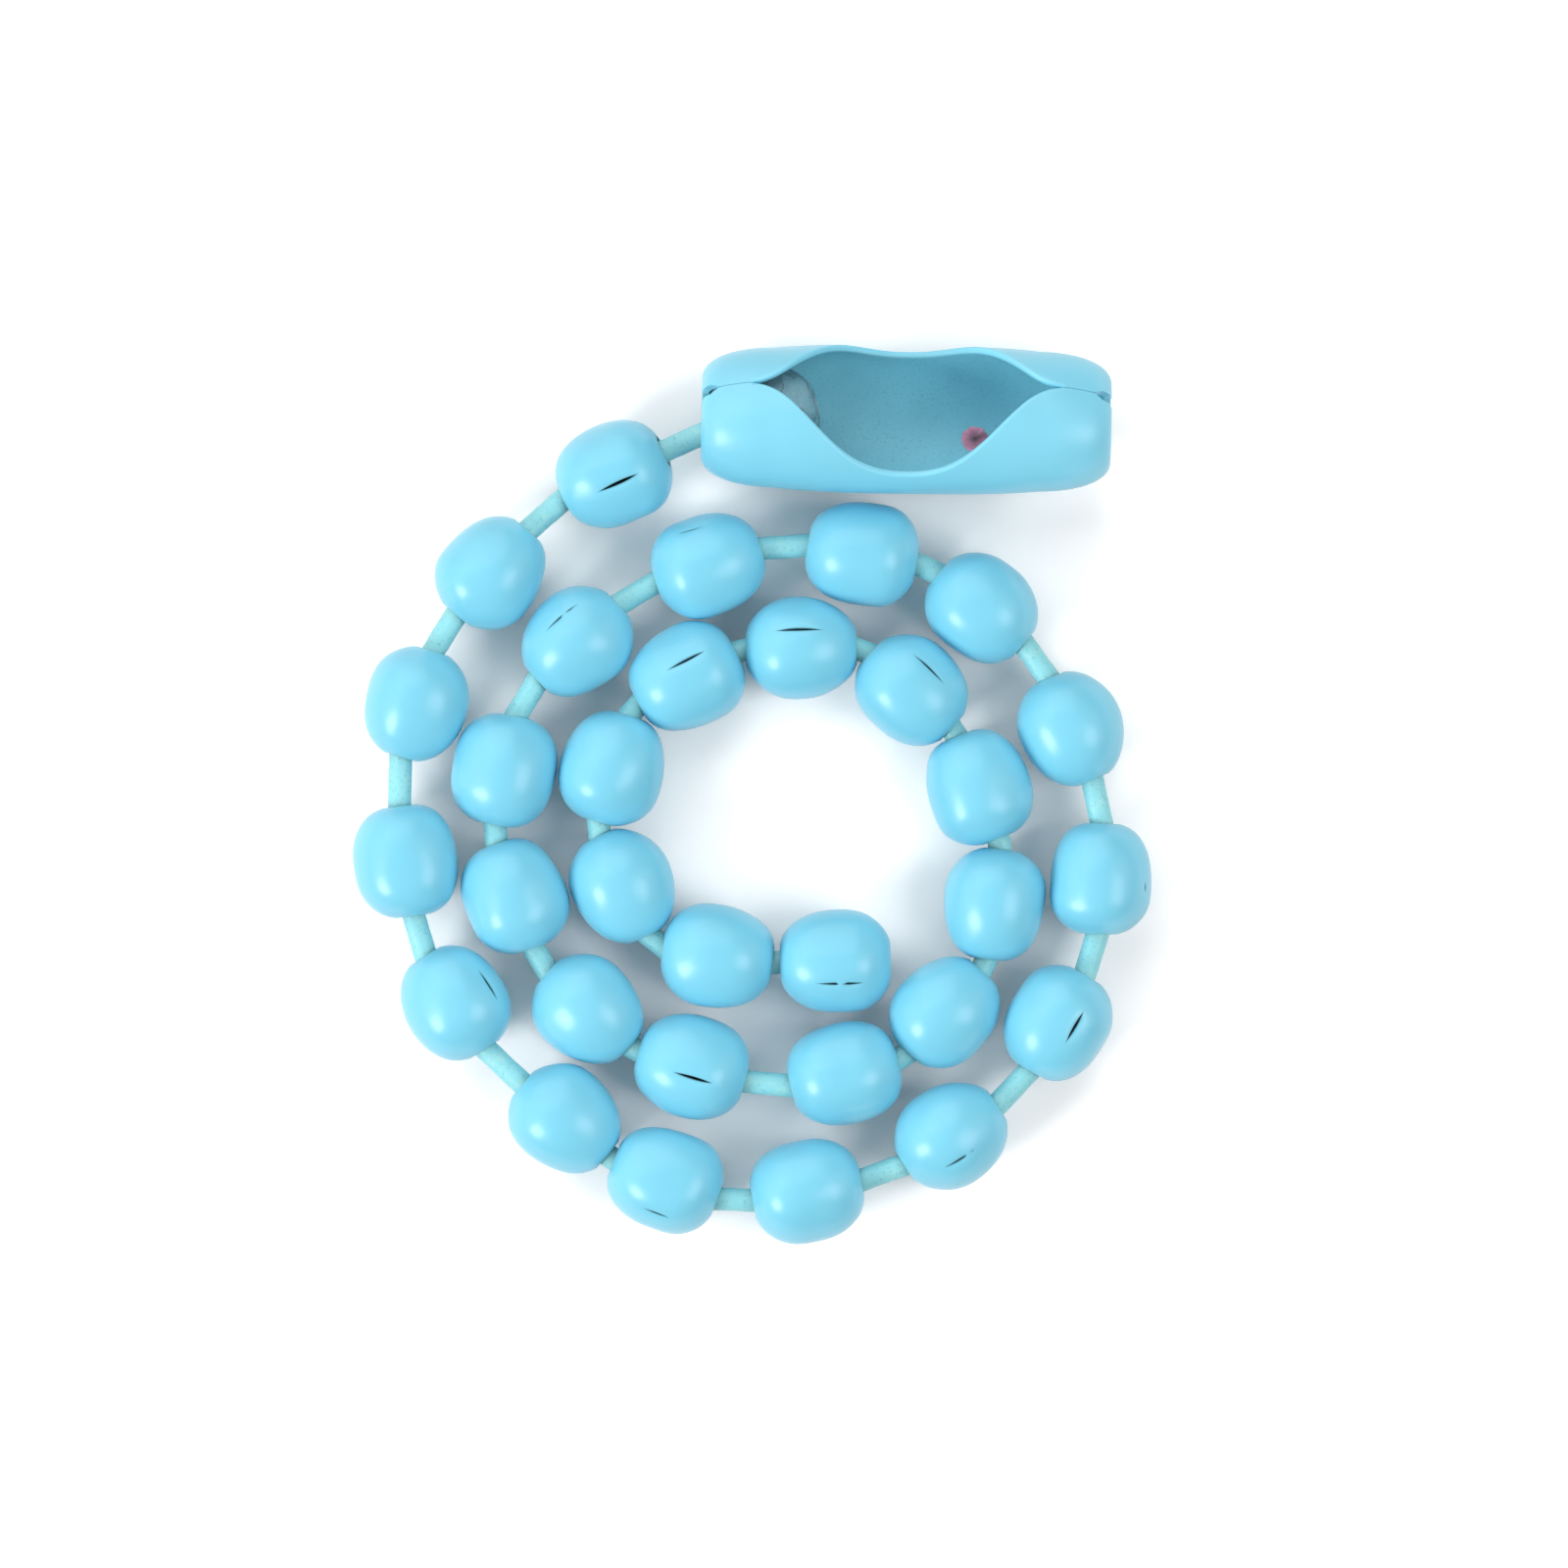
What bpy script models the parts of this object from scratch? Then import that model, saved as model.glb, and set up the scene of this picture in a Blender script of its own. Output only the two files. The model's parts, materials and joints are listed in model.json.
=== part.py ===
"""Roller blind chain: painted hollow balls on short headed wires, coiled flat, with a folded sheet connector.

Every ball is a thin shell rolled from sheet, with a round hole at each pole and a seam slit along one side.
A wire link joins each ball to the next, and its headed ends lie loose inside the two balls.
The connector is a crowned tube rolled from one blank, with a mouth in the middle and a closed seam at each end.
The chain lies on the plane z = 0 in a spiral, which is walked outwards from the free end, ball by ball.
"""

import math

import bmesh
import bpy
import numpy as np
from mathutils import Matrix, Vector

MM = 0.001
DEG = math.pi / 180

# Balls
BALL_DIAMETER = 4.5 * MM
BALL_LENGTH = 4.7 * MM
BALL_WALL = 0.3 * MM
POLE_HOLE_RADIUS = 0.75 * MM
SEAM_LENGTH = 2.0 * MM
SEAM_WIDTH = 0.22 * MM
SEAM_DEPTH = 0.6 * MM
BALL_SIDES = 11

# The ball's outline from its pole to its belly, as shares of its half length and of its radius
OUTLINE = ((0.83, 0.66), (0.57, 0.885), (0.0, 1.0))

# How far the shell's inner shoulder lies inside the outer one, in wall thicknesses across and along the axis
INNER_SHOULDER = (0.25, 1.3)

# Wire links
WIRE_DIAMETER = 1.0 * MM
SHANK_LENGTH = 3.6 * MM
HEAD_DIAMETER = 1.7 * MM
HEAD_HEIGHT = 0.4 * MM
HEAD_WIDEST = 0.4
FUSED_HOLE_RADIUS = 0.3 * MM
LINK_SIDES = 8

# Connector
CONNECTOR_LENGTH = 17.4 * MM
CONNECTOR_DIAMETER = 6.32 * MM
CROWN_DEPTH = 0.66 * MM
CROWN_POWER = 3
END_ROUNDING = 1.1 * MM
END_HOLE_RADIUS = 1.6 * MM
SHEET = 0.3 * MM
MOUTH_LENGTH = 13.8 * MM
MOUTH_ANGLE = 162 * DEG
MOUTH_FLATNESS = 2.3
MOUTH_TAPER = 2.5
SEAM_GAP = 0.12 * MM
NOTCH_WIDTH = 0.6 * MM
CONNECTOR_ROLL = 31 * DEG
CROWN_STEPS = 8
ROUNDING_STEPS = 3
BLANK_COLUMNS = 16

# Pierced pip on the connector's floor
PIP_PLACE = 2.95 * MM
PIP_TURN = 196 * DEG
PIP_RADIUS = 0.5 * MM
PIP_TOP_RADIUS = 0.35 * MM
PIP_HEIGHT = 0.25 * MM
PIP_HOLE_RADIUS = 0.2 * MM
PIP_SIDES = 10

# Clearances
BALL_GAP = 0.1 * MM
SEAT_GAP = 0.12 * MM
LEAN_ROOM = 0.42 * MM

# Coil radius in ball diameters, at bearings in degrees that are counted outwards from the free end
COIL = (
    (0, 1.27),
    (54, 1.25),
    (100, 1.53),
    (140, 1.70),
    (212, 1.80),
    (282, 1.93),
    (342, 2.28),
    (406, 2.31),
    (488, 2.68),
    (549, 2.64),
    (605, 2.86),
    (662, 3.03),
    (740, 3.34),
    (763, 3.40),
    (782, 3.33),
    (854, 3.63),
    (900, 3.78),
)
FREE_END_BEARING = -65.4 * DEG

# How far each link is drawn out, outwards from the free end: 0 is ball against ball, 1 is head against shell
DRAWN = (0.2, 0.1, 0.1, 0.1, 0.12, 0.12, 0.12, 0.08, 0.17, 0.13, 0.9, 0.11, 0.52, 0.34, 0.7)
DRAWN += (0.77, 0.84, 0.38, 0.77, 0.83, 0.76, 0.86, 0.86, 0.62, 0.13, 0.98, 0.77, 0.9, 0.81, 0.91)
LAST = len(DRAWN) + 1

# Turns in the plane from the last stretch of the coil to the connector, to the left being positive
FREE_END_TURN = 3 * DEG
LEAD_TURN = -14 * DEG
SEATED_TURN = -11.6 * DEG
CONNECTOR_TURN = -14.2 * DEG
LEAD_WIRE = 2.1 * MM
SEAT_DEPTH = 2.6 * MM
SEATED_DROP = 0.15 * MM

# The seam's turn about its ball's axis in degrees, from straight up and towards the coil's middle.
# The balls that are not named have it underneath.
SEAM_TURNS = {1: 12, 5: 48, 7: -40, 9: -28, 10: -18, 11: -62, 15: -49, 16: -35, 20: -11}
SEAM_TURNS.update({25: -33, 26: -21, 27: -17, 31: -26})
HIDDEN_SEAM_TURN = 168

# Balls that share a solid with a link, each with that link's number
FUSED = {0: 0, 29: 28, 30: 29, 31: 30}

# The outer links that swing in the plane, and the inner balls that lift out of it
SWINGING_LINKS = 7
LIFTING_BALLS = (29, 30, 31)

# Working out the layout
USUAL_LEAN = 15 * DEG
END_WEIGHT = 10
HALVINGS = 40
FAN_STEP = 10 * DEG
SETTLING_PASSES = 600
SETTLED = 0.0001 * MM
MERGE = 0.001 * MM
SHARP_ANGLE = 40 * DEG

BELLY = BALL_DIAMETER / 2
POLE = BALL_LENGTH / 2
WIRE = WIRE_DIAMETER / 2
CONNECTOR_RADIUS = CONNECTOR_DIAMETER / 2
CONNECTOR_HALF = CONNECTOR_LENGTH / 2
UP = Vector((0, 0, 1))


def clear_scene():
    for thing in list(bpy.data.objects):
        bpy.data.objects.remove(thing, do_unlink=True)


def collection(name):
    group = bpy.data.collections.new(name)
    bpy.context.scene.collection.children.link(group)
    return group


def material(name, colour, roughness, metallic):
    made = bpy.data.materials.new(name)
    made.use_nodes = True
    shader = made.node_tree.nodes["Principled BSDF"]
    shader.inputs["Base Color"].default_value = (*colour, 1)
    shader.inputs["Roughness"].default_value = roughness
    shader.inputs["Metallic"].default_value = metallic
    return made


# Outlines


def ball_outline():
    """The outer side from the upper pole's hole to the lower one's, as (radius, height) along the axis."""
    upper = [(POLE_HOLE_RADIUS, POLE)] + [(out * BELLY, along * POLE) for along, out in OUTLINE]
    return upper + [(radius, -height) for radius, height in reversed(upper[:-1])]


def ball_section(upper_hole, lower_hole):
    """The closed section of the shell: down the outer side and back up the inner one."""
    outer = ball_outline()
    outer[0] = (upper_hole, POLE)
    outer[-1] = (lower_hole, -POLE)
    inside = POLE - BALL_WALL
    shoulder = outer[1][0] - BALL_WALL * INNER_SHOULDER[0]
    height = outer[1][1] - BALL_WALL * INNER_SHOULDER[1]
    inner = [(lower_hole, -inside), (shoulder, -height), (BELLY - BALL_WALL, 0)]
    return outer + inner + [(shoulder, height), (upper_hole, inside)]


def link_section():
    """The open section of a link, from the tip of one domed head to the tip of the other."""
    end = SHANK_LENGTH / 2
    widest = end + HEAD_HEIGHT * HEAD_WIDEST
    upper = [(0, end + HEAD_HEIGHT), (HEAD_DIAMETER / 2, widest), (WIRE, end)]
    return upper + [(radius, -height) for radius, height in reversed(upper)]


def baked(name, mesh, steps):
    """A copy of a mesh after modifiers, each given as (type, settings)."""
    holder = bpy.data.objects.new(name, mesh)
    bpy.context.scene.collection.objects.link(holder)
    for kind, settings in steps:
        modifier = holder.modifiers.new(kind.lower(), kind)
        for setting, value in settings.items():
            setattr(modifier, setting, value)
    graph = bpy.context.evaluated_depsgraph_get()
    result = bpy.data.meshes.new_from_object(holder.evaluated_get(graph))
    result.name = name
    bpy.data.objects.remove(holder)
    return result


def boolean(operation, other):
    return "BOOLEAN", {"operation": operation, "object": other, "solver": "EXACT"}


def turned(name, section, sides, closed=False):
    """A solid of revolution about Z from a section that runs down its outer side."""
    profile = bpy.data.meshes.new(name + "_profile")
    edges = [(point, point + 1) for point in range(len(section) - 1)]
    if closed:
        edges.append((len(section) - 1, 0))
    profile.from_pydata([(radius, 0, height) for radius, height in section], edges, [])
    screw = {
        "axis": "Z",
        "angle": 2 * math.pi,
        "steps": sides,
        "render_steps": sides,
        "use_merge_vertices": True,
        "merge_threshold": MERGE,
    }
    return baked(name, profile, [("SCREW", screw)])


# Balls and links


def seam_cutter(cutters):
    """A six-sided lens bar that stands through the belly along +X, with its length along Z."""
    mesh = bpy.data.meshes.new("seam_cutter")
    form = bmesh.new()
    bmesh.ops.create_circle(form, cap_ends=True, segments=6, radius=1)
    half_width = SEAM_WIDTH / 2 / math.sin(60 * DEG)
    bmesh.ops.scale(form, vec=(SEAM_LENGTH / 2, half_width, 1), verts=form.verts)
    bmesh.ops.translate(form, vec=(0, 0, BELLY - SEAM_DEPTH), verts=form.verts)
    raised = bmesh.ops.extrude_face_region(form, geom=form.faces[:])
    top = [v for v in raised["geom"] if isinstance(v, bmesh.types.BMVert)]
    bmesh.ops.translate(form, vec=(0, 0, SEAM_DEPTH + BALL_WALL), verts=top)
    bmesh.ops.rotate(form, matrix=Matrix.Rotation(math.pi / 2, 3, "Y"), verts=form.verts)
    bmesh.ops.recalc_face_normals(form, faces=form.faces)
    form.to_mesh(mesh)
    form.free()
    return add_cutter("seam_cutter", mesh, cutters)


def add_cutter(name, mesh, cutters):
    cutter = bpy.data.objects.new(name, mesh)
    cutter.hide_render = True
    cutter.display_type = "WIRE"
    cutters.objects.link(cutter)
    return cutter


def ball_mesh(name, cutter, upper_hole, lower_hole):
    """A shell that is turned half a side, so that its seam runs along the middle of a side."""
    shell = turned(name, ball_section(upper_hole, lower_hole), BALL_SIDES, closed=True)
    shell.transform(Matrix.Rotation(math.pi / BALL_SIDES, 4, "Z"))
    return baked(name, shell, [boolean("DIFFERENCE", cutter)])


# Layout of the coil


def reach(directions, axes, margin, outline):
    """How far an outline of revolution reaches from its centre in each direction."""
    along = np.abs(directions @ axes.T)
    across = np.sqrt(np.maximum(0, 1 - along**2))
    return np.max([height * along + radius * across for radius, height in outline], axis=0) + margin


def coil_radius(bearing):
    bearings, radii = zip(*COIL)
    return np.interp(bearing / DEG, bearings, radii) * BALL_DIAMETER


def coil_point(bearing):
    radius = coil_radius(bearing)
    angle = FREE_END_BEARING - bearing
    return np.array([radius * math.cos(angle), radius * math.sin(angle)])


def link_travel():
    """The shortest and the longest distance between two balls' centres."""
    return BALL_LENGTH, BALL_LENGTH + SHANK_LENGTH - 2 * (BALL_WALL + LEAN_ROOM)


def walk_coil():
    """Ball centres from the free end outwards, each at its link's pitch from the one before."""
    shortest, longest = link_travel()
    bearing = 0.0
    centres = [coil_point(bearing)]
    for drawn in DRAWN:
        pitch = shortest + drawn * (longest - shortest)
        low, high = bearing, bearing + math.pi / 2
        for _ in range(HALVINGS):
            bearing = (low + high) / 2
            if np.linalg.norm(coil_point(bearing) - centres[-1]) < pitch:
                low = bearing
            else:
                high = bearing
        centres.append(coil_point(bearing))
    return np.array(centres)


def turned_by(direction, angle):
    c, s = math.cos(angle), math.sin(angle)
    return np.array([c * direction[0] - s * direction[1], s * direction[0] + c * direction[1]])


def coil_axes(centres):
    """Each ball points outwards along the chain, turned so that the wires lean least in their holes.

    A wire runs from hole to hole, so its own heading shifts with both balls' headings. The leans at its
    two ends are linear in those headings, and the least sum of their squares gives every ball's heading.
    """
    chords = np.diff(centres, axis=0)
    headings = np.unwrap(np.arctan2(chords[:, 1], chords[:, 0]))
    hinge = POLE - BALL_WALL / 2
    gains = hinge / (np.linalg.norm(chords, axis=1) - 2 * hinge * math.cos(USUAL_LEAN))
    rows, goals = [], []
    for link, (heading, gain) in enumerate(zip(headings, gains)):
        for end in (link, link + 1):
            row = np.zeros(len(centres))
            row[[link, link + 1]] = gain
            row[end] += 1
            rows.append(row)
            goals.append((1 + 2 * gain) * heading)
    for end, goal in ((0, headings[0] + FREE_END_TURN), (-1, headings[-1] + LEAD_TURN)):
        row = np.zeros(len(centres))
        row[end] = END_WEIGHT
        rows.append(row)
        goals.append(END_WEIGHT * goal)
    angles = np.linalg.lstsq(np.array(rows), np.array(goals), rcond=None)[0]
    return np.stack([np.cos(angles), np.sin(angles)], axis=1)


def settle(centres):
    """Push balls apart until every two of them, and the connector, keep the ball gap."""
    fan = np.arange(0, 2 * math.pi, FAN_STEP)
    directions = np.stack([np.cos(fan), np.sin(fan)], axis=1)
    outline = ball_outline()
    tube = [(radius, place) for place, radius in connector_profile() if place >= 0]
    first, second = np.triu_indices(len(centres), 1)
    for _ in range(SETTLING_PASSES):
        axes = coil_axes(centres)
        reaches = reach(directions, axes, BALL_GAP / 2, outline)
        apart = (centres[second] - centres[first]) @ directions.T
        room = apart - (reaches[:, first] + reaches[:, second]).T
        best = np.argmax(room, axis=1)
        widest = room[np.arange(len(best)), best]
        moves = np.zeros_like(centres)
        for pair in np.nonzero(widest < 0)[0]:
            push = directions[best[pair]] * widest[pair] / 2
            moves[first[pair]] += push
            moves[second[pair]] -= push
        middle, heading = connector_place(centres[-1], axes[-1])[:2]
        tube_reach = reach(directions, heading[None], SEAT_GAP, tube)[:, 0]
        beyond = (centres[:-1] - middle) @ directions.T - (reaches[:, :-1].T + tube_reach)
        side = np.argmax(beyond, axis=1)
        for ball in np.nonzero(beyond[np.arange(len(side)), side] < 0)[0]:
            moves[ball] -= directions[side[ball]] * beyond[ball, side[ball]]
        centres = centres + moves
        if np.abs(moves).max() < SETTLED:
            break
    return centres


def connector_place(centre, axis):
    """In the plane: the connector's middle and heading, and the seated ball's centre and axis."""
    lead_end = centre + axis * (POLE + LEAD_WIRE)
    seated_axis = turned_by(axis, SEATED_TURN)
    seated = lead_end + seated_axis * POLE
    heading = turned_by(axis, SEATED_TURN + CONNECTOR_TURN)
    return seated + heading * (CONNECTOR_HALF - SEAT_DEPTH), heading, seated, seated_axis


# Connector


def crown_radius(place):
    return CONNECTOR_RADIUS - CROWN_DEPTH * abs(place / CONNECTOR_HALF) ** CROWN_POWER


def connector_profile():
    """The tube's outer side from one end hole to the other, as (place along the tube, radius)."""
    start = CONNECTOR_HALF - END_ROUNDING
    centre = crown_radius(start) - END_ROUNDING
    places = [start * step / CROWN_STEPS for step in range(CROWN_STEPS + 1)]
    half = [(place, crown_radius(place)) for place in places]
    for step in range(1, ROUNDING_STEPS):
        angle = math.pi / 2 * step / ROUNDING_STEPS
        half.append((start + END_ROUNDING * math.sin(angle), centre + END_ROUNDING * math.cos(angle)))
    half.append((CONNECTOR_HALF, END_HOLE_RADIUS))
    return [(-place, radius) for place, radius in reversed(half[1:])] + half


def mouth_half_angle(place, radius):
    """Half of the angle that the blank leaves open, from the wide mouth to the seam and its end notch."""
    share = min(1.0, abs(place) / (MOUTH_LENGTH / 2))
    mouth = MOUTH_ANGLE / 2 * (1 - share**MOUTH_FLATNESS) ** MOUTH_TAPER
    seam = SEAM_GAP / 2 / radius
    past_rounding = max(0.0, abs(place) - (CONNECTOR_HALF - END_ROUNDING / 2)) / (END_ROUNDING / 2)
    notch = past_rounding * (NOTCH_WIDTH - SEAM_GAP) / 2 / radius
    return max(mouth, seam + notch)


def connector_mesh(cutters):
    """A flat blank rolled round the tube's axis, X, with its mouth towards +Z, then given its thickness."""
    profile = connector_profile()
    mesh = bpy.data.meshes.new("connector")
    form = bmesh.new()
    bmesh.ops.create_grid(form, x_segments=len(profile) - 1, y_segments=BLANK_COLUMNS, size=1)
    for vert in form.verts:
        place, radius = profile[round((vert.co.x + 1) / 2 * (len(profile) - 1))]
        open_half = mouth_half_angle(place, radius)
        angle = math.pi + vert.co.y * (math.pi - open_half)
        vert.co = Vector((place, radius * math.sin(angle), radius * math.cos(angle)))
    bmesh.ops.recalc_face_normals(form, faces=form.faces)
    outward = sum(face.normal.dot(face.calc_center_median() * Vector((0, 1, 1))) for face in form.faces)
    if outward < 0:
        bmesh.ops.reverse_faces(form, faces=form.faces)
    form.to_mesh(mesh)
    form.free()
    shell = ("SOLIDIFY", {"thickness": SHEET, "offset": -1, "use_even_offset": True})
    return baked("connector", mesh, [shell, *pip_steps(cutters)])


def pip_steps(cutters):
    """A small pierced pip that stands on the floor inside, to hold a ball in the right-hand seat."""
    floor = crown_radius(PIP_PLACE) - SHEET
    place = Matrix.Rotation(PIP_TURN, 4, "X") @ Matrix.Translation((PIP_PLACE, 0, floor))
    collar = cone("pip_collar", PIP_TOP_RADIUS, PIP_RADIUS, -PIP_HEIGHT, SHEET / 2)
    bore = cone("pip_bore", PIP_HOLE_RADIUS, PIP_HOLE_RADIUS, -2 * PIP_HEIGHT, 2 * SHEET)
    for mesh in (collar, bore):
        mesh.transform(place)
    return [
        boolean("UNION", add_cutter("pip_collar", collar, cutters)),
        boolean("DIFFERENCE", add_cutter("pip_bore", bore, cutters)),
    ]


def cone(name, low_radius, high_radius, low, high):
    mesh = bpy.data.meshes.new(name)
    form = bmesh.new()
    bmesh.ops.create_cone(
        form, cap_ends=True, segments=PIP_SIDES, radius1=low_radius, radius2=high_radius, depth=high - low
    )
    bmesh.ops.translate(form, vec=(0, 0, (low + high) / 2), verts=form.verts)
    form.to_mesh(mesh)
    form.free()
    return mesh


# Placing


def level(direction, pitch=0.0):
    """A direction of the plane as a 3-D one, raised by a pitch."""
    return Vector((direction[0] * math.cos(pitch), direction[1] * math.cos(pitch), math.sin(pitch)))


def pose(centre, axis, turn=0.0):
    """Stand a piece made along Z at a centre along an axis, its +X side up and then turned about the axis."""
    side = (UP - axis * axis.z).normalized()
    side = Matrix.Rotation(turn, 3, axis) @ side
    other = axis.cross(side)
    return Matrix.Translation(centre) @ Matrix((side, other, axis)).transposed().to_4x4()


class Chain:
    """Every ball's place and every link's place, numbered from the connector inwards."""

    def __init__(self):
        centres = settle(walk_coil())
        axes = coil_axes(centres)
        middle, heading, seated, seated_axis = connector_place(centres[-1], axes[-1])
        seated_height = CONNECTOR_RADIUS - SEATED_DROP
        rise = seated_height - BELLY
        run = POLE + LEAD_WIRE + POLE
        self.pitch = math.asin(rise / run)
        self.middle = Vector((*middle, CONNECTOR_RADIUS))
        self.heading = level(heading)
        self.centre = [None] * (LAST + 1)
        self.axis = [None] * (LAST + 1)
        for step, (centre, axis) in enumerate(zip(centres, axes)):
            self.centre[LAST - step] = Vector((*centre, BELLY))
            self.axis[LAST - step] = level(axis)
        self.axis[1] = level(axes[-1], self.pitch)
        self.axis[0] = level(seated_axis, self.pitch)
        self.centre[0] = Vector((*seated, seated_height))

    def pole(self, ball, outward):
        """The middle of a ball's hole, halfway through the wall."""
        offset = POLE - BALL_WALL / 2
        return self.centre[ball] + self.axis[ball] * (offset if outward else -offset)

    def link(self, number):
        """The middle of a link and its direction, from its outer ball to its inner one."""
        start, end = self.pole(number, False), self.pole(number + 1, True)
        return (start + end) / 2, (end - start).normalized()


def place_of(pivot):
    """Where a pivot lies in the chain's frame."""
    place = Vector()
    while pivot.parent:
        place += pivot.location
        pivot = pivot.parent
    return place


def hang(thing, parent, matrix):
    """Hang a thing, given by its place in the chain's frame, on a parent that is moved but not turned."""
    thing.parent = parent
    thing.matrix_basis = Matrix.Translation(-place_of(parent)) @ matrix


def add_pivots(chain, frame, parts):
    """Empties on the hinges' axes, each hung on the next one towards the coil and named after what it carries."""
    outer = [(f"link_{link:02d}_pivot", chain.pole(link + 1, True)) for link in range(SWINGING_LINKS, 0, -1)]
    outer += [("ball_01_pivot", chain.pole(1, False)), ("ball_00_pivot", chain.pole(1, True))]
    inner = [(f"ball_{ball}_pivot", chain.pole(ball - 1, False)) for ball in LIFTING_BALLS]
    pivots = {}
    for run in (outer, inner):
        parent = frame
        for name, place in run:
            pivots[name] = bpy.data.objects.new(name, None)
            parts.objects.link(pivots[name])
            hang(pivots[name], parent, Matrix.Translation(place))
            parent = pivots[name]
    return pivots


def add_part(name, mesh, matrix, finish, parts, carrier):
    part = bpy.data.objects.new(name, mesh)
    hang(part, carrier, matrix)
    parts.objects.link(part)
    if not mesh.materials:
        mesh.materials.append(finish)
        mesh.shade_smooth()
        mesh.set_sharp_from_angle(angle=SHARP_ANGLE)


def fused_mesh(name, chain, ball, link, seam_turn, cutters, cutter):
    """A ball and one of its links as one solid: that pole's hole is closed up onto the wire."""
    holes = [FUSED_HOLE_RADIUS, POLE_HOLE_RADIUS]
    if link == ball:
        holes.reverse()
    shell = ball_mesh(name + "_shell", cutter, *holes)
    wire = turned(name + "_wire", link_section(), LINK_SIDES)
    stand = pose(chain.centre[ball], chain.axis[ball], seam_turn)
    wire.transform(stand.inverted() @ pose(*chain.link(link)))
    return baked(name, shell, [boolean("UNION", add_cutter(name + "_wire", wire, cutters))])


def build():
    clear_scene()
    parts = collection("roller_blind_chain")
    cutters = collection("cutters")
    paint = material("ball_paint", (0.22, 0.69, 0.91), 0.35, 0.0)
    wire_paint = material("wire_paint", (0.14, 0.5, 0.58), 0.5, 0.0)
    connector_paint = material("connector_paint", (0.25, 0.66, 0.88), 0.4, 0.0)
    bare = material("bare_steel", (0.42, 0.47, 0.48), 0.45, 0.8)

    chain = Chain()
    frame = bpy.data.objects.new("chain_frame", None)
    parts.objects.link(frame)
    pivots = add_pivots(chain, frame, parts)

    cutter = seam_cutter(cutters)
    ball = ball_mesh("ball", cutter, POLE_HOLE_RADIUS, POLE_HOLE_RADIUS)
    link = turned("link", link_section(), LINK_SIDES)
    for number in range(LAST + 1):
        name = f"ball_{number:02d}"
        turn = SEAM_TURNS.get(number, HIDDEN_SEAM_TURN) * DEG
        mesh = ball
        if number in FUSED:
            mesh = fused_mesh(name, chain, number, FUSED[number], turn, cutters, cutter)
        finish = bare if number == 0 else paint
        carrier = pivots.get(name + "_pivot") or pivots.get(f"link_{number:02d}_pivot", frame)
        add_part(name, mesh, pose(chain.centre[number], chain.axis[number], turn), finish, parts, carrier)
    for number in range(LAST):
        if number not in FUSED.values():
            name = f"link_{number:02d}"
            carrier = pivots.get(name + "_pivot", frame)
            add_part(name, link, pose(*chain.link(number)), wire_paint, parts, carrier)

    stand = Matrix((chain.heading, UP.cross(chain.heading), UP)).transposed().to_4x4()
    roll = Matrix.Rotation(-CONNECTOR_ROLL, 4, "X")
    matrix = Matrix.Translation(chain.middle) @ stand @ roll
    add_part("connector", connector_mesh(cutters), matrix, connector_paint, parts, pivots["ball_00_pivot"])
    centre_frame(frame, parts)


def centre_frame(frame, parts):
    """Bring the middle of the whole part's box to the origin, with its underside at z = 0."""
    bpy.context.view_layer.update()
    corners = []
    for part in parts.objects:
        if part.type == "MESH":
            corners += [part.matrix_world @ vert.co for vert in part.data.vertices]
    low = [min(corner[side] for corner in corners) for side in range(3)]
    high = [max(corner[side] for corner in corners) for side in range(3)]
    frame.location = (-(low[0] + high[0]) / 2, -(low[1] + high[1]) / 2, -low[2])


build()
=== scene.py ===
"""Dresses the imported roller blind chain: rolled balls, headed wires, the folded connector and their paint."""

import json
import math
from typing import NamedTuple

import bmesh
import bpy
from mathutils import Matrix, Vector, noise


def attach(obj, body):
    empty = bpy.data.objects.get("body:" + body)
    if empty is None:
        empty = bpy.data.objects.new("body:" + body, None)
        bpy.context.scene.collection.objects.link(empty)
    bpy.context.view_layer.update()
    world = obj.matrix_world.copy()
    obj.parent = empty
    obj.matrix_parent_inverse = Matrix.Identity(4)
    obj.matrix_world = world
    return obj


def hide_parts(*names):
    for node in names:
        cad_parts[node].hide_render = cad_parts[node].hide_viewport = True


bl_info = {
    "name": "Roller Blind Chain",
    "version": (1, 0, 0),
    "blender": (4, 5, 0),
    "location": "View3D > Sidebar > Blind Chain",
    "description": "Dresses the packed ball chain and its connector in painted sheet and wire",
    "category": "Object",
}

MM = 0.001
DEG = math.pi / 180
UP = Vector((0, 0, 1))
BALLS = 32
SHARP_ANGLE = 50 * DEG
MERGE = 0.001 * MM

# Facets of the CAD's links and balls, and the distance within which its loose corners are one
LINK_SIDES = 8
BALL_SIDES = 11
CAD_MERGE = 0.0001 * MM

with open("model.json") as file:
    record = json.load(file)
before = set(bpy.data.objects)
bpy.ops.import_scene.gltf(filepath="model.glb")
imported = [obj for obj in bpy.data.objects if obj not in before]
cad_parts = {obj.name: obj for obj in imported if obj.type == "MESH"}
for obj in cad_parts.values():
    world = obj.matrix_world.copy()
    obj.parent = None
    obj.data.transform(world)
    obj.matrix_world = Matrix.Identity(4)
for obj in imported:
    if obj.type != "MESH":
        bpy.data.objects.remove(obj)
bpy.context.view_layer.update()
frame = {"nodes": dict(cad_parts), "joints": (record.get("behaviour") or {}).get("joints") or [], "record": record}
JOINTS = {joint["name"]: joint for joint in frame["joints"]}
BODY_OF = {node: body for body, nodes in frame["record"]["behaviour"]["bodies"].items() for node in nodes}

# The links that share a CAD solid with a ball, by link
CARRIED_BY = {0: "ball_00", 28: "ball_29", 29: "ball_30", 30: "ball_31"}

# A bridge of paint so far off that the slit has none
NO_BRIDGE = -9


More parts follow.
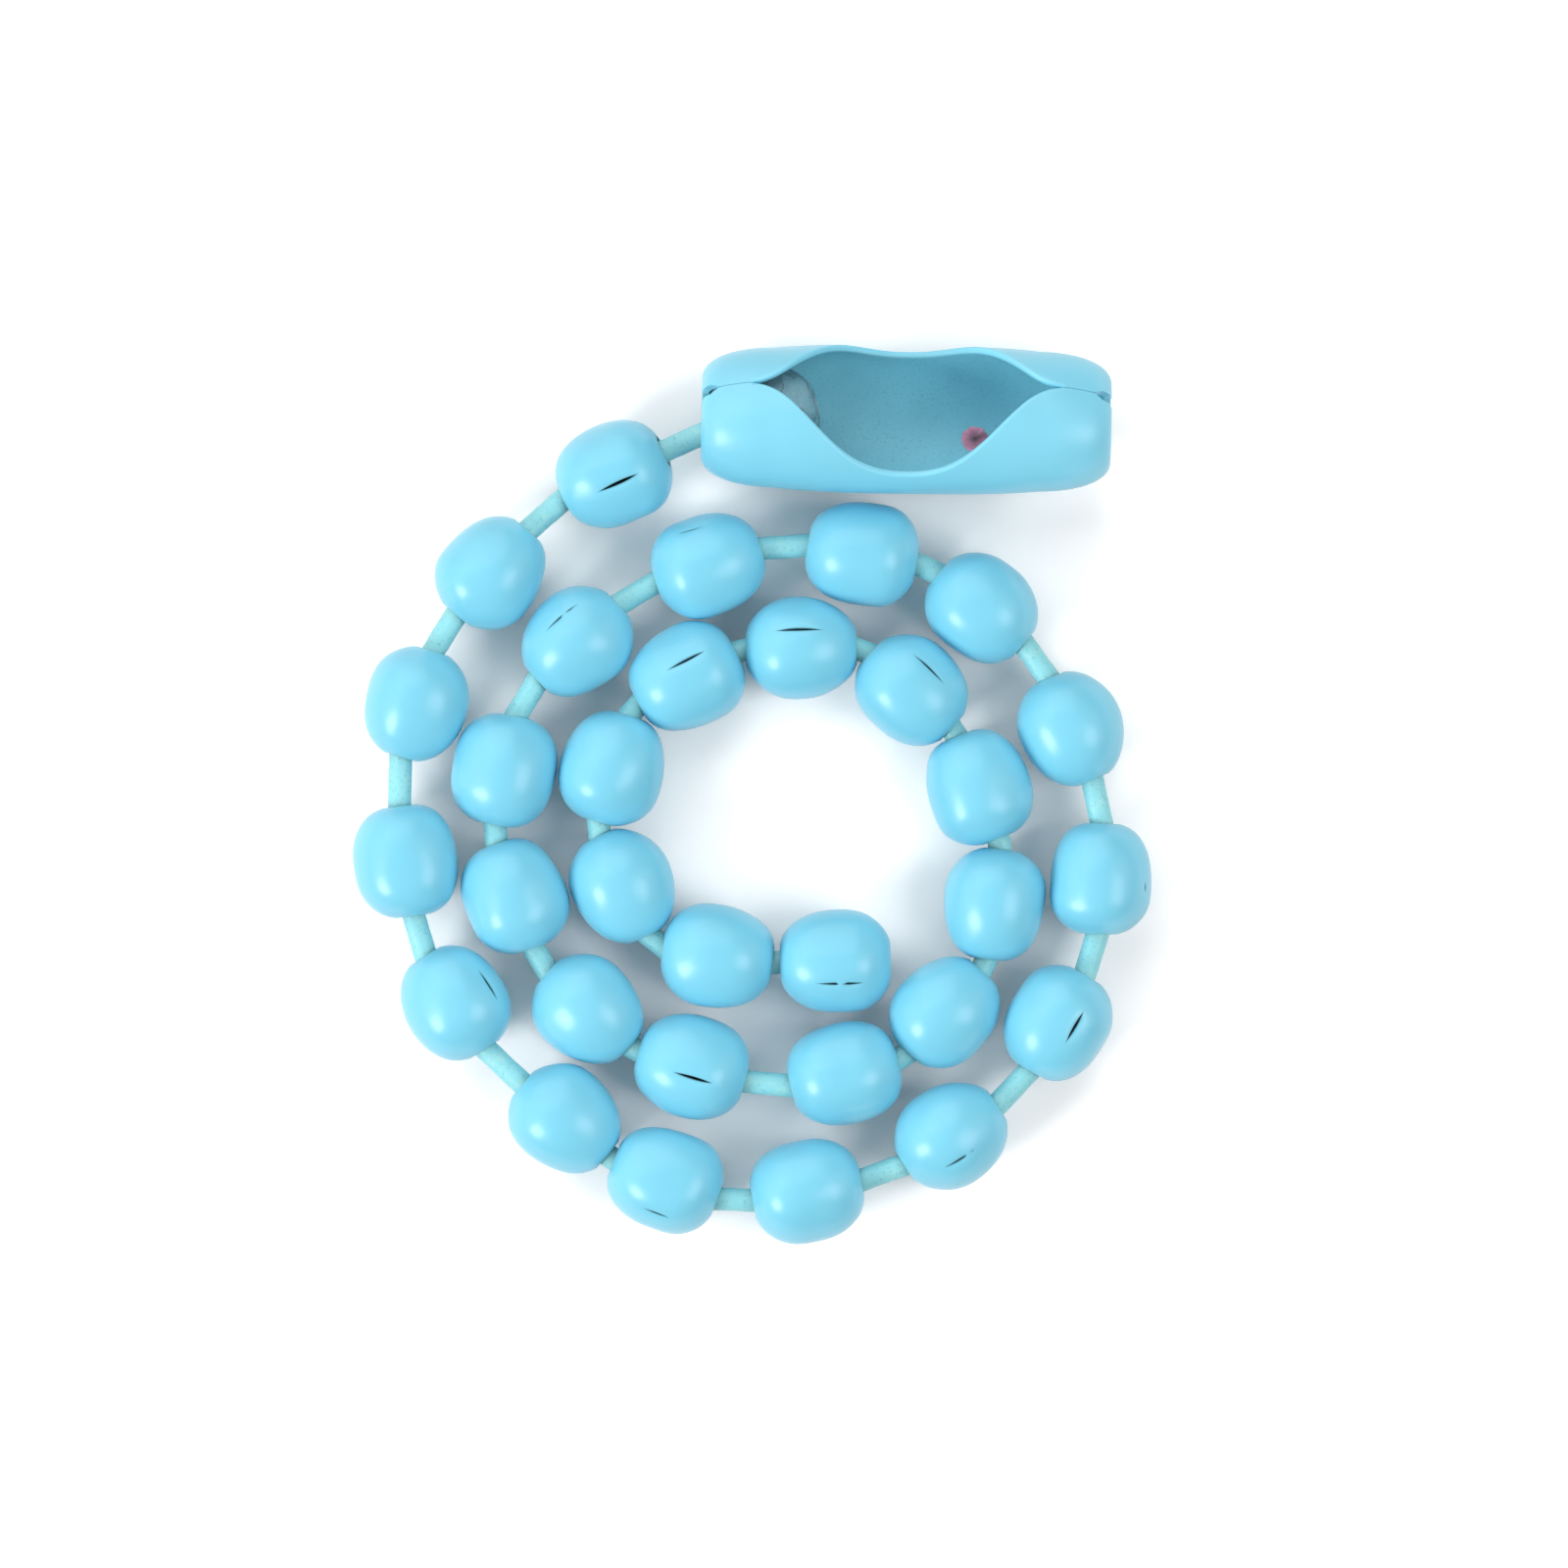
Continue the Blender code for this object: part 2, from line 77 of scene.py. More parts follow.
class Seam(NamedTuple):
    """Where a ball's seam is turned to, and the slit in it, in mm."""

    turn: float  # Degrees from straight up, towards the coil's middle
    length: float
    width: float
    middle: float = 0.0  # How far along the ball the slit's middle lies
    bridge: float = NO_BRIDGE  # Where paint closes the slit: 0 is its middle and 1 its end


SEAMS = {
    1: Seam(12, 1.95, 0.15, 0.1),
    5: Seam(48, 1.6, 0.09),
    7: Seam(-40, 1.2, 0.07, 0.1),
    9: Seam(-28, 1.6, 0.08, 0.1, -0.5),
    10: Seam(-18, 1.6, 0.13),
    11: Seam(-62, 0.5, 0.07),
    15: Seam(-49, 1.2, 0.05),
    16: Seam(-35, 1.9, 0.08, 0.1, 0.15),
    20: Seam(-11, 1.8, 0.13),
    25: Seam(-33, 1.9, 0.08),
    26: Seam(-21, 2.1, 0.12),
    27: Seam(-17, 1.9, 0.11, 0.1),
    31: Seam(-26, 2.1, 0.11, 0.0, 0.02),
}
HIDDEN_SEAM = Seam(168, 1.8, 0.1)


class BallSizes(bpy.types.PropertyGroup):
    diameter: bpy.props.FloatProperty(
        name="Diameter", description="Across the belly", default=4.5 * MM, unit="LENGTH", precision=5
    )
    length: bpy.props.FloatProperty(
        name="Length", description="From hole to hole", default=4.7 * MM, unit="LENGTH", precision=5
    )
    wall: bpy.props.FloatProperty(
        name="Wall", description="Thickness of the sheet", default=0.3 * MM, unit="LENGTH", precision=5
    )
    hole: bpy.props.FloatProperty(
        name="Hole", description="Radius of the wire's hole", default=0.72 * MM, unit="LENGTH", precision=5
    )
    fullness: bpy.props.FloatProperty(
        name="Fullness", description="2 is an ellipsoid, and more is closer to a barrel",
        default=2.3, min=2, max=4,
    )
    segments: bpy.props.IntProperty(
        name="Segments", description="Facets round the belly", default=72, min=16
    )


class LinkSizes(bpy.types.PropertyGroup):
    wire: bpy.props.FloatProperty(
        name="Wire", description="Diameter of the wire", default=1.0 * MM, unit="LENGTH", precision=5
    )
    shank: bpy.props.FloatProperty(
        name="Shank", description="Length between the heads", default=3.6 * MM, unit="LENGTH", precision=5
    )
    head: bpy.props.FloatProperty(
        name="Head", description="Diameter of a head", default=1.7 * MM, unit="LENGTH", precision=5
    )
    head_height: bpy.props.FloatProperty(
        name="Head height", description="Height of a head", default=0.4 * MM, unit="LENGTH", precision=5
    )


class ConnectorSizes(bpy.types.PropertyGroup):
    length: bpy.props.FloatProperty(
        name="Length", description="From end to end", default=17.4 * MM, unit="LENGTH", precision=5
    )
    diameter: bpy.props.FloatProperty(
        name="Diameter", description="Across the middle", default=6.32 * MM, unit="LENGTH", precision=5
    )
    crown: bpy.props.FloatProperty(
        name="Crown", description="How much the radius falls to the ends",
        default=0.66 * MM, unit="LENGTH", precision=5,
    )
    rounding: bpy.props.FloatProperty(
        name="End rounding", description="How far the turned-in ends fall", default=1.3 * MM, unit="LENGTH",
        precision=5,
    )
    taper: bpy.props.FloatProperty(
        name="End taper", description="Length over which they fall",
        default=3.0 * MM, unit="LENGTH", precision=5,
    )
    lip: bpy.props.FloatProperty(
        name="Lip", description="How deep the blank's edges turn in along the seam", default=0.2 * MM,
        unit="LENGTH", precision=5,
    )
    end_hole: bpy.props.FloatProperty(
        name="End hole", description="Radius of the hole at each end",
        default=1.6 * MM, unit="LENGTH", precision=5,
    )
    sheet: bpy.props.FloatProperty(
        name="Sheet", description="Thickness of the sheet", default=0.3 * MM, unit="LENGTH", precision=5
    )
    mouth_length: bpy.props.FloatProperty(
        name="Mouth length", description="From tip to tip", default=13.8 * MM, unit="LENGTH", precision=5
    )
    mouth_angle: bpy.props.FloatProperty(
        name="Mouth angle", description="Opening at its widest", default=162 * DEG, subtype="ANGLE"
    )
    seam: bpy.props.FloatProperty(
        name="Seam", description="Gap where the blank's edges meet",
        default=0.03 * MM, unit="LENGTH", precision=5,
    )
    notch: bpy.props.FloatProperty(
        name="Notch", description="Width of the slot at each end",
        default=0.52 * MM, unit="LENGTH", precision=5,
    )
    roll: bpy.props.FloatProperty(
        name="Roll", description="How far the mouth is turned from straight up",
        default=31 * DEG, subtype="ANGLE",
    )


class ChainColours(bpy.types.PropertyGroup):
    ball: bpy.props.FloatVectorProperty(
        name="Balls", description="Paint on the balls", default=(0.205, 0.63, 0.815), subtype="COLOR"
    )
    wire: bpy.props.FloatVectorProperty(
        name="Wires", description="Paint on the wires", default=(0.29, 0.72, 0.78), subtype="COLOR"
    )
    connector: bpy.props.FloatVectorProperty(
        name="Connector", description="Paint on the connector",
        default=(0.225, 0.65, 0.825), subtype="COLOR",
    )
    inside: bpy.props.FloatVectorProperty(
        name="Inside", description="Thin paint inside the connector",
        default=(0.25, 0.66, 0.79), subtype="COLOR",
    )
    steel: bpy.props.FloatVectorProperty(
        name="Bare metal", description="The seated ball's metal",
        default=(0.17, 0.32, 0.38), subtype="COLOR",
    )
    pip: bpy.props.FloatVectorProperty(
        name="Pip", description="The pierced pip's worn rim", default=(1.0, 0.36, 0.54), subtype="COLOR"
    )


class StudioSettings(bpy.types.PropertyGroup):
    lens: bpy.props.FloatProperty(
        name="Lens", description="Focal length in mm", default=400, subtype="DISTANCE_CAMERA"
    )
    picture: bpy.props.FloatProperty(
        name="Picture width", description="What the frame spans at the balls",
        default=66.67 * MM, unit="LENGTH",
        precision=5,
    )
    aim: bpy.props.FloatVectorProperty(
        name="Aim", description="The frame's middle on the floor", default=(1.296 * MM, 0.406 * MM), size=2,
        unit="LENGTH", precision=6,
    )
    room: bpy.props.FloatProperty(name="Room", description="Brightness of the white room", default=0.31)
    back: bpy.props.FloatProperty(
        name="Back", description="Brightness of the big soft box behind", default=1.3
    )
    walls: bpy.props.FloatProperty(
        name="Walls", description="Brightness of the boxes at the sides", default=0.95
    )
    left: bpy.props.FloatProperty(
        name="Left", description="Brightness of the small box in front left", default=13
    )
    right: bpy.props.FloatProperty(
        name="Right", description="Brightness of the box on the right", default=3.5
    )


# Shader maths


class Value:
    """A value socket of a finish that takes part in sums: an expression on it adds its Math nodes."""

    def __init__(self, finish, socket):
        self.finish = finish
        self.socket = socket

    def math(self, operation, *others, clamp=False):
        inputs = dict(enumerate((self, *others)))
        return self.finish.node("Math", {"operation": operation, "use_clamp": clamp}, inputs)

    def __add__(self, other):
        return self.math("ADD", other)

    __radd__ = __add__

    def __sub__(self, other):
        return self.math("SUBTRACT", other)

    def __rsub__(self, other):
        return (self * -1).math("ADD", other)

    def __mul__(self, other):
        return self.math("MULTIPLY", other)

    __rmul__ = __mul__

    def clamped(self):
        return self.math("ADD", 0.0, clamp=True)


class Finish:
    """The nodes of a material or a world, mixed by expressions. Every node comes from the node method."""

    def __init__(self, owner):
        self.owner = owner
        owner.use_nodes = True
        self.tree = owner.node_tree
        self.tree.nodes.clear()

    def node(self, kind, settings=None, inputs=None, output=0):
        made = self.tree.nodes.new("ShaderNode" + kind)
        for name, value in (settings or {}).items():
            setattr(made, name, value)
        for name, value in (inputs or {}).items():
            if isinstance(value, Value):
                self.tree.links.new(value.socket, made.inputs[name])
            else:
                made.inputs[name].default_value = value
        return Value(self, made.outputs[output]) if made.outputs else None

    def place(self):
        return self.node("TexCoord", output="Object")

    def noise(self, per_mm, detail=3.0, roughness=0.5, distortion=0.0):
        """Noise in the object's own space, with so many features to a millimetre."""
        inputs = {"Vector": self.place(), "Scale": per_mm / MM, "Detail": detail}
        inputs.update({"Roughness": roughness, "Distortion": distortion})
        return self.node("TexNoise", None, inputs)

    def band(self, value, low, high):
        """0 below low and 1 above high, or the other way round if high is the lower."""
        inputs = {"Value": value, "From Min": low, "From Max": high, "To Min": 0.0, "To Max": 1.0}
        return self.node("MapRange", {"interpolation_type": "SMOOTHSTEP"}, inputs)

    def attribute(self, name):
        return self.node("Attribute", {"attribute_name": name}, output="Fac")

    def mix(self, share, first, second):
        colours = [value if isinstance(value, Value) else (*value, 1) for value in (first, second)]
        return self.node("Mix", {"data_type": "RGBA"}, {0: share, 6: colours[0], 7: colours[1]}, output=2)

    def bump(self, height, depth, strength=1.0):
        inputs = {"Strength": strength, "Distance": depth, "Height": height}
        return self.node("Bump", None, inputs, output="Normal")

    def surface(self, inputs):
        shader = self.node("BsdfPrincipled", None, inputs)
        self.node("OutputMaterial", None, {"Surface": shader})
        return self.owner


def shade(colour, factor):
    return tuple(channel * factor for channel in colour)


# Finishes, with the colours that show only in spots of them

# Painted shade in the balls' slits and on their inner side
SLIT_PAINTED_SHADE = (0.012, 0.03, 0.035)
RUBBED_WIRE = (0.36, 0.76, 0.77)
WIRE_SPECKS = (0.12, 0.36, 0.40)
STEEL_FILM = (0.18, 0.39, 0.47)
STEEL_SPECKS = (0.38, 0.5, 0.54)
FILM_CRACKS = (0.05, 0.1, 0.11)
# Painted glints on the pip
PIP_PAINTED_GLINT = (0.85, 0.68, 0.78)
# Painted shade of the pip's hole and torn side
PIT_PAINTED_SHADE = (0.02, 0.02, 0.03)
PAPER = (0.45, 0.45, 0.45)
PAPER_AS_SEEN = (1.38, 1.33, 1.31)
PLAIN_GLOSS = 0.5


def ball_paint(colours):
    """Sprayed enamel: even, a little orange peel and thin round the wire's hole, with painted shade in the slit,
    along its edges and on the shell's inner side.
    """
    finish = Finish(bpy.data.materials.new("ball_enamel"))
    cloud = finish.noise(0.35, detail=2.0)
    peel = finish.noise(1.5, detail=2.0)
    grain = finish.noise(9.0, detail=2.0)
    painted_shade = finish.attribute("painted_shade")
    rim = finish.attribute("rim")
    colour = finish.mix(cloud, shade(colours.ball, 0.95), shade(colours.ball, 1.05))
    colour = finish.mix(rim * finish.band(grain, 0.35, 0.6) * 0.75, colour, shade(colours.wire, 0.75))
    # Painted shade: the inner side, the rolled hole edges and the slit's edges are darkened
    colour = finish.mix(painted_shade, colour, SLIT_PAINTED_SHADE)
    return finish.surface(
        {
            "Base Color": colour,
            "Roughness": (0.3 + painted_shade * 0.4 + rim * 0.15).clamped(),
            "Specular IOR Level": PLAIN_GLOSS,
            "Normal": finish.bump(peel, 0.005 * MM, 0.6),
        }
    )


def wire_paint(colours):
    """The same coat on drawn wire, greener, rubbed thin in patches and finely speckled."""
    finish = Finish(bpy.data.materials.new("wire_enamel"))
    patch = finish.noise(1.1, detail=4.0, roughness=0.6)
    grain = finish.noise(7.0, detail=3.0)
    worn = finish.band(patch, 0.52, 0.68)
    colour = finish.mix(worn, colours.wire, RUBBED_WIRE)
    colour = finish.mix(finish.band(grain, 0.55, 0.72) * 0.35, colour, WIRE_SPECKS)
    height = patch * 0.6 + grain * 0.4
    return finish.surface(
        {
            "Base Color": colour,
            "Roughness": (0.34 + grain * 0.25).clamped(),
            "Specular IOR Level": PLAIN_GLOSS,
            "Normal": finish.bump(height, 0.012 * MM, 0.7),
        }
    )


def sheet_paint(colours):
    """Enamel on the connector: full outside with a painted highlight along its rounded rims, and thin, dull and
    speckled inside.
    """
    finish = Finish(bpy.data.materials.new("connector_enamel"))
    cloud = finish.noise(0.22, detail=3.0)
    peel = finish.noise(1.4, detail=2.0)
    grain = finish.noise(8.0, detail=3.0)
    inside = finish.attribute("inside")
    rim = finish.attribute("rim")
    outer = finish.mix(cloud, shade(colours.connector, 0.95), shade(colours.connector, 1.05))
    # Painted highlight: the rounded rims are lightened
    outer = finish.mix(rim * 0.35, outer, shade(colours.connector, 1.15))
    patch = finish.band(cloud, 0.35, 0.65)
    thin = finish.mix(patch, shade(colours.inside, 0.94), shade(colours.inside, 1.06))
    thin = finish.mix(finish.band(grain, 0.5, 0.75) * 0.35, thin, shade(colours.inside, 0.6))
    colour = finish.mix(inside, outer, thin)
    height = peel * 0.7 + grain * 0.3
    return finish.surface(
        {
            "Base Color": colour,
            "Roughness": (0.34 + inside * 0.18).clamped(),
            "Specular IOR Level": PLAIN_GLOSS,
            "Normal": finish.bump(height, 0.008 * MM, 0.6),
        }
    )


def bare_metal(colours):
    """Dull steel under a torn film of paint."""
    finish = Finish(bpy.data.materials.new("bare_steel_film"))
    patch = finish.noise(0.8, detail=5.0, roughness=0.6, distortion=0.8)
    grain = finish.noise(6.0, detail=4.0)
    film = finish.band(patch, 0.4, 0.62)
    cracks = finish.band(patch, 0.5, 0.485) * finish.band(patch, 0.465, 0.48)
    colour = finish.mix(film, colours.steel, STEEL_FILM)
    colour = finish.mix(finish.band(grain, 0.5, 0.7) * 0.25, colour, STEEL_SPECKS)
    colour = finish.mix(cracks * 0.8, colour, FILM_CRACKS)
    return finish.surface(
        {
            "Base Color": colour,
            "Metallic": (0.35 - film * 0.3).clamped(),
            "Roughness": (0.4 + grain * 0.25).clamped(),
            "Normal": finish.bump(patch * 0.7 + grain * 0.3, 0.03 * MM, 0.8),
        }
    )


def pip_metal(colours):
    """The pip's rim, rubbed through to reddish primer, with painted glints, and painted shade for its hole and
    torn side.
    """
    finish = Finish(bpy.data.materials.new("pip_primer"))
    patch = finish.noise(3.0, detail=4.0, roughness=0.6)
    pit_shade = finish.attribute("pit_shade")
    colour = finish.mix(finish.band(patch, 0.38, 0.6), shade(colours.pip, 0.8), colours.pip)
    # Painted glints in spots
    colour = finish.mix(finish.band(patch, 0.6, 0.72) * 0.6, colour, PIP_PAINTED_GLINT)
    # Painted shade of the hole and the torn side
    colour = finish.mix(pit_shade, colour, PIT_PAINTED_SHADE)
    return finish.surface(
        {
            "Base Color": colour,
            "Roughness": (0.25 + patch * 0.2).clamped(),
            "Normal": finish.bump(patch, 0.02 * MM, 0.7),
        }
    )


# Where the frame has each piece


def merged_points(node):
    """The corners of a CAD node, each once, with the number of edges that meet there."""
    form = bmesh.new()
    form.from_mesh(frame["nodes"][node].data)
    bmesh.ops.remove_doubles(form, verts=form.verts, dist=CAD_MERGE)
    points = [(vert.co.copy(), len(vert.link_edges)) for vert in form.verts]
    form.free()
    return points


def link_node(number):
    return CARRIED_BY.get(number, f"link_{number:02d}")


def link_length(sizes):
    return sizes.shank + 2 * sizes.head_height


def link_place(number, length):
    """A link's middle and direction, from the tips of its heads, where all its facets meet."""
    tips = [point for point, edges in merged_points(link_node(number)) if edges >= LINK_SIDES]
    pairs = [(first, second) for index, first in enumerate(tips) for second in tips[:index]]
    first, second = min(pairs, key=lambda pair: abs((pair[0] - pair[1]).length - length))
    return (first + second) / 2, (second - first).normalized()


def joint_point(name):
    return Vector(JOINTS[name]["pos_m"])


def axis_to_far_hole(ball, pole):
    """From one hole of a ball towards the other, whose corners are the farthest from it."""
    points = [point for point, edges in merged_points(f"ball_{ball:02d}")]
    rim = sorted(points, key=lambda point: (point - pole).length)[-BALL_SIDES:]
    return (sum(rim, Vector()) / BALL_SIDES - pole).normalized()


def ball_place(ball, sizes, length):
    """A ball's middle and its axis, which points outwards along the chain."""
    half = (sizes.length - sizes.wall) / 2
    if f"swivel_ball_{ball:02d}" in JOINTS:
        joint = JOINTS[f"swivel_ball_{ball:02d}"]
        return Vector(joint["pos_m"]), Vector(joint["axis"])
    if ball == 1:
        inner, outer = joint_point("swing_ball_01"), joint_point("lift_ball_00")
        return (inner + outer) / 2, (outer - inner).normalized()
    if ball == 0:
        inner = 2 * link_place(0, length)[0] - joint_point("lift_ball_00")
        axis = axis_to_far_hole(0, inner)
        return inner + axis * half, axis
    if ball == BALLS - 1:
        outer = 2 * link_place(ball - 1, length)[0] - joint_point(f"lift_ball_{ball}")
        axis = -axis_to_far_hole(ball, outer)
        return outer - axis * half, axis
    joint = JOINTS[f"lift_ball_{ball + 1}"]
    axis = Vector(joint["axis"]).cross(UP)
    return Vector(joint["pos_m"]) + axis * half, axis


def standing(centre, axis, turn=0.0):
    """Stands a form made along Z at a centre along an axis, its +X side up and then turned about the axis."""
    side = (UP - axis * axis.z).normalized()
    side = Matrix.Rotation(turn, 3, axis) @ side
    return Matrix.Translation(centre) @ Matrix((side, axis.cross(side), axis)).transposed().to_4x4()


def add_piece(name, form, material, body, hides=()):
    """Makes a mesh a piece of the chain that rides on a body and may stand for CAD nodes."""
    mesh = bpy.data.meshes.new(name)
    form.to_mesh(mesh)
    form.free()
    mesh.materials.append(material)
    piece = bpy.data.objects.new(name, mesh)
    bpy.context.scene.collection.objects.link(piece)
    mesh.shade_smooth()
    mesh.set_sharp_from_angle(angle=SHARP_ANGLE)
    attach(piece, body)
    if hides:
        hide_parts(*hides)
    return piece


def clamp(value):
    return min(1.0, max(0.0, value))


def lathe(outline, steps):
    """A new form, turned full circle about Z from the (radius, height) points of its outline."""
    form = bmesh.new()
    points = [form.verts.new((radius, 0, height)) for radius, height in outline]
    edges = [form.edges.new(pair) for pair in zip(points, points[1:])]
    bmesh.ops.spin(
        form, geom=points + edges, cent=(0, 0, 0), axis=(0, 0, 1), dvec=(0, 0, 0), angle=2 * math.pi,
        steps=steps, use_merge=True,
    )
    bmesh.ops.remove_doubles(form, verts=form.verts, dist=MERGE)
    return form


# Balls

PROFILE_STEPS = 48
BARREL_SPREAD = 0.25  # How much the balls' fullness differs
RIM_PAINT = 0.16 * MM  # Width of the thin paint round a hole
ROLLED_EDGE = 0.06 * MM  # How far a hole's edge bulges inwards
SPIN_GAP = 0.002  # Half of the angle that the spin leaves open at the seam, in radians
SLIT_POINT = 1.3  # How pointed a slit's ends are
BRIDGE_SHARE = 0.1
CROWDING = 0.8
DRAWN_IN = 0.16 * MM  # How far from a slit its edges bend inwards
# Width of the painted shadow along a slit's edges, and the slit width at which it is full
SHADOW_WIDTH = 0.05 * MM
SHADOW_SLIT = 0.08 * MM  # A slit this wide has the full shadow
SEAM_MERGE = 0.004 * MM
BELLY_SHIFT = 0.3 * MM
DENT_SIZE = 2.4 * MM
DENT_DEPTH = 0.22 * MM
DENT_START = 0.9  # Distance from the axis in mm, inside which the dents fade


def rounded(share, fullness):
    """The other coordinate of a rounded outline, where both run from 0 to 1."""
    return (1 - abs(share) ** fullness) ** (1 / fullness)


def ball_section(sizes, fullness):
    """The shell's closed section, down its outer side and back up inside, as (radius, height, rim, painted shade):
    the inner side and the rolled hole edges carry painted shade.
    """
    half = sizes.length / 2
    across_hole = sizes.hole / (sizes.diameter / 2)
    reach = half / rounded(across_hole, fullness)
    start = math.atan2(across_hole, half / reach)
    outer, inner = [], []
    for step in range(PROFILE_STEPS + 1):
        angle = start + (math.pi - 2 * start) * step / PROFILE_STEPS
        across, along = math.sin(angle), math.cos(angle)
        scale = (across**fullness + abs(along) ** fullness) ** (-1 / fullness)
        radius, height = sizes.diameter / 2 * across * scale, reach * along * scale
        near_rim = max(0.0, 1 - (radius - sizes.hole) / RIM_PAINT)
        outer.append((radius, height, near_rim, 0.0))
        inward = 1 - sizes.wall / math.hypot(radius, height)
        inner.append((max(sizes.hole, radius * inward), height * inward, 1.0, 1.0))
    lip = sizes.wall / 2
    rolled = []
    for step in range(1, 4):
        angle = math.pi * step / 4
        radius = sizes.hole - ROLLED_EDGE * math.sin(angle)
        rolled.append((radius, half - lip + lip * math.cos(angle), 1.0, step / 4))
    lower = [(radius, -height, rim, depth) for radius, height, rim, depth in rolled]
    return outer + lower + inner[::-1] + rolled[::-1]


def slit_width(height, seam):
    """How far the rolled sheet's edges stand apart at a height along the ball."""
    share = (height - seam.middle * MM) / (seam.length * MM / 2)
    if abs(share) >= 1:
        return 0.0
    opening = seam.width * MM * (1 - share**2) ** SLIT_POINT
    return opening * clamp(abs(share - seam.bridge) / BRIDGE_SHARE - 1)


def crowded(share):
    """Spreads columns from 0 at the ball's back to 1 at its seam so that they lie close near the seam."""
    return share + CROWDING * math.sin(math.pi * share) / math.pi


def ball_form(sizes, seam, number):
    """A shell rolled from sheet: its section is spun almost all round, and its edges drawn together."""
    form = bmesh.new()
    rim_layer = form.verts.layers.float.new("rim")
    painted_shade_layer = form.verts.layers.float.new("painted_shade")
    section = []
    fullness = sizes.fullness + BARREL_SPREAD * math.sin(1.9 * number)
    for radius, height, rim, inner in ball_section(sizes, fullness):
        vert = form.verts.new((radius, 0, height))
        vert[rim_layer] = rim
        # The inner side and the rolled hole edges carry painted shade
        vert[painted_shade_layer] = inner
        section.append(vert)
    edges = [form.edges.new((section[index - 1], section[index])) for index in range(len(section))]
    bmesh.ops.rotate(form, matrix=Matrix.Rotation(SPIN_GAP, 3, "Z"), verts=form.verts)
    bmesh.ops.spin(
        form, geom=section + edges, cent=(0, 0, 0), axis=(0, 0, 1), dvec=(0, 0, 0),
        angle=2 * (math.pi - SPIN_GAP), steps=sizes.segments, use_merge=False,
    )
    belly = sizes.diameter / 2
    for vert in form.verts:
        radius = math.hypot(vert.co.x, vert.co.y)
        share = (math.atan2(vert.co.y, vert.co.x) % (2 * math.pi) - math.pi) / (math.pi - SPIN_GAP)
        width = slit_width(vert.co.z, seam)
        turned = crowded(min(1.0, abs(share))) * (math.pi - width / 2 / belly)
        angle = math.pi + math.copysign(turned, share)
        across = min(angle, 2 * math.pi - angle) * belly
        radius -= 0.5 * width * math.exp(-((across / DRAWN_IN) ** 2))
        # Painted shadow along the edges of an open slit
        if width > 0:
            shadow = max(0.0, 1 - (across - width / 2) / SHADOW_WIDTH) * min(1.0, width / SHADOW_SLIT)
            vert[painted_shade_layer] = max(vert[painted_shade_layer], 0.6 * shadow)
        vert.co = Vector((radius * math.cos(angle), radius * math.sin(angle), vert.co.z))
    bmesh.ops.remove_doubles(form, verts=form.verts, dist=SEAM_MERGE)
    wall_slit(form, seam)
    dent(form, number, sizes)
    bmesh.ops.recalc_face_normals(form, faces=form.faces)
    return form


def wall_slit(form, seam):
    """Joins the shell's outer and inner sides along the slit, on each side of its bridge."""
    bridge = (seam.middle + seam.bridge * seam.length / 2) * MM
    open_edges = [edge for edge in form.edges if edge.is_boundary]
    for above in (False, True):
        run = [edge for edge in open_edges if (sum(vert.co.z for vert in edge.verts) / 2 > bridge) == above]
        if run:
            bmesh.ops.bridge_loops(form, edges=run)


def dent(form, number, sizes):
    """Unevenness from the rolling dies, different on every ball: a belly off the middle and soft hollows."""
    shift = Vector((number * 1.7, number * 0.9, number * 2.3))
    belly_shift = BELLY_SHIFT * math.sin(2.4 * number)
    for vert in form.verts:
        radial = Vector((vert.co.x, vert.co.y, 0))
        fade = clamp(radial.length / MM - DENT_START)
        wave = noise.noise(vert.co / DENT_SIZE + shift, noise_basis="PERLIN_NEW")
        vert.co -= radial.normalized() * fade * (0.5 + 0.5 * wave) ** 2 * DENT_DEPTH
        vert.co.z += belly_shift * max(0.0, 1 - (2 * vert.co.z / sizes.length) ** 2) ** 2


def add_ball(number, scene, material):
    sizes, seam, node = scene.blind_balls, SEAMS.get(number, HIDDEN_SEAM), f"ball_{number:02d}"
    form = ball_form(sizes, seam, number)
    centre, axis = ball_place(number, sizes, link_length(scene.blind_links))
    form.transform(standing(centre, axis, seam.turn * DEG))
    add_piece(f"{node}_shell", form, material, BODY_OF[node], hides=(node,))


class CHAIN_OT_balls(bpy.types.Operator):
    """Makes every painted ball of the chain as a rolled shell with its slit"""

    bl_idname = "blind_chain.balls"
    bl_label = "Make Balls"

    def execute(self, context):
        paint = ball_paint(context.scene.blind_colours)
        for number in range(1, BALLS):
            add_ball(number, context.scene, paint)
        return {"FINISHED"}


class CHAIN_OT_seated_ball(bpy.types.Operator):
    """Makes the bare ball that sits in the connector"""

    bl_idname = "blind_chain.seated_ball"
    bl_label = "Make Seated Ball"

    def execute(self, context):
        add_ball(0, context.scene, bare_metal(context.scene.blind_colours))
        return {"FINISHED"}


# Links

NECK = 0.08 * MM  # Length of the fillet under a head
NECK_SWELL = 0.05 * MM
DRAWING_MARKS = 0.9 * MM  # Size of the wire's unevenness
MARK_DEPTH = 0.035 * MM


